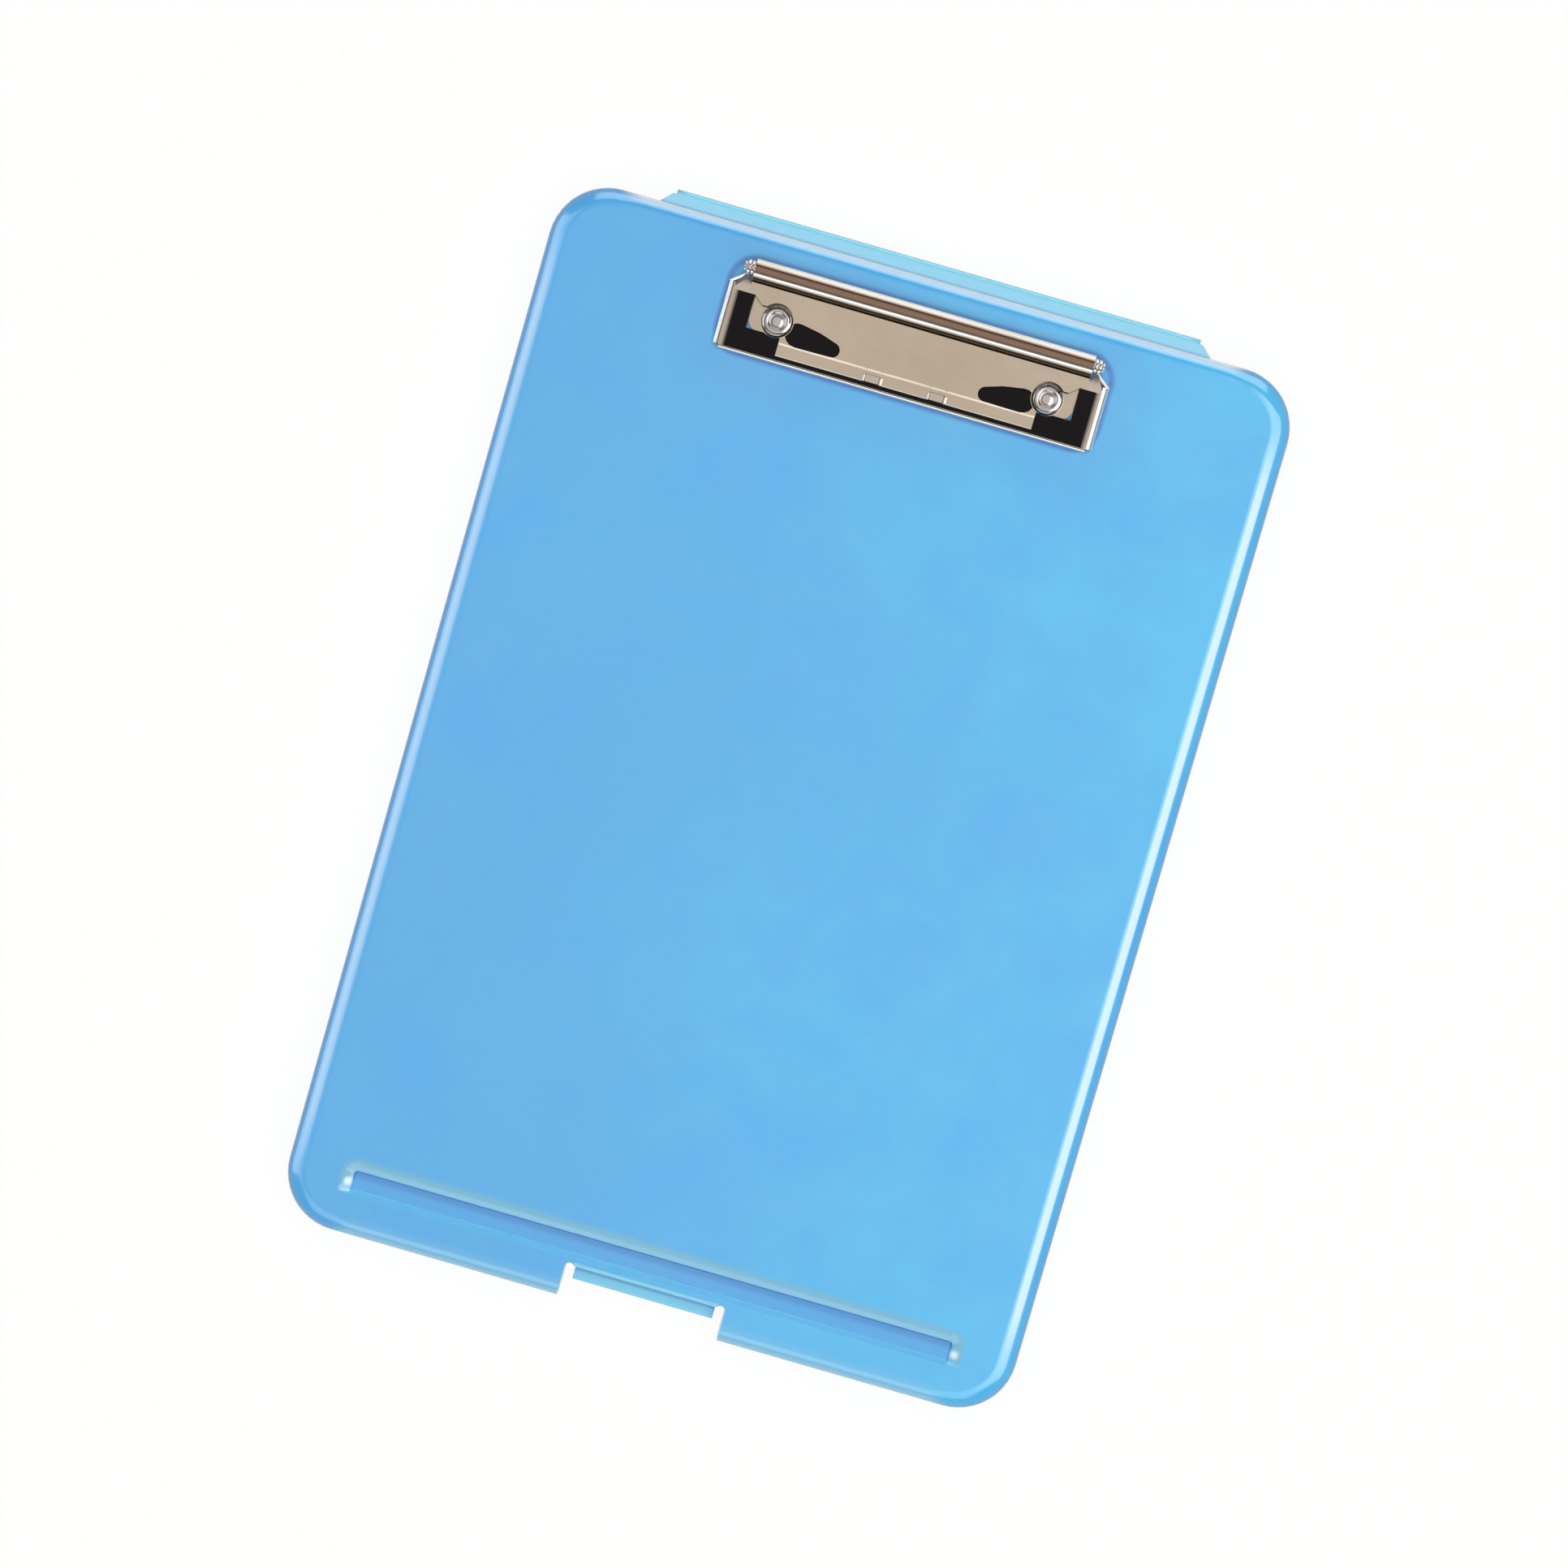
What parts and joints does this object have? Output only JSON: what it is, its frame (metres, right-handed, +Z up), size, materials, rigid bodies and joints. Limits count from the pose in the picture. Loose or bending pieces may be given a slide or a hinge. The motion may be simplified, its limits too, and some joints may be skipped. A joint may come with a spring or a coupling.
{
  "type": "storage clipboard box",
  "caption": "Shallow A4 storage box whose hinged lid is a clipboard: spring clip riveted at the hinge end, pen groove and snap latch at the front.",
  "frame": {"origin": "on the table, under the middle of the closed box", "axes": "+X to the right across the lid, +Y along the box towards the hinge and the clip, +Z up out of the lid"},
  "size_m": [0.24, 0.346, 0.0277],
  "materials": {
    "tray_plastic": "satin",
    "lid_plastic": "satin",
    "nickel_plate": "polished",
    "dark_nickel": "polished",
    "bright_steel": "polished",
    "spring_steel": "satin"
  },
  "bodies": {
    "tray": {"tray": "tray_plastic", "hinge_web": "tray_plastic"},
    "lid": {"lid": "lid_plastic", "clip_base_plate": "nickel_plate", "clip_hinge_pin": "bright_steel", "clip_spring_left": "spring_steel", "clip_spring_right": "spring_steel", "clip_rivets": "bright_steel", "clip_rivet_washers": "bright_steel"},
    "jaw": {"clip_jaw": "dark_nickel", "clip_cover_plate": "nickel_plate"},
    "latch": {"latch_tongue": "lid_plastic"}
  },
  "joints": [
    {"name": "lid_hinge", "type": "hinge", "parent": "tray", "child": "lid", "pos_m": [0, 0.1715, 0.0135], "axis": [-1, 0, 0], "range_deg": [0, 175], "deforming": ["hinge_web"]},
    {"name": "jaw_hinge", "type": "hinge", "parent": "lid", "child": "jaw", "pos_m": [0, 0.1553, 0.0244], "axis": [-1, 0, 0], "range_deg": [0, 50], "stiffness_Nm_per_rad": 0.3, "springref_deg": -57.3, "deforming": ["clip_spring_left", "clip_spring_right"]},
    {"name": "latch_flex", "type": "hinge", "parent": "lid", "child": "latch", "pos_m": [0, -0.1612, 0.019], "axis": [-1, 0, 0], "range_deg": [0, 12], "stiffness_Nm_per_rad": 0.2}
  ]
}
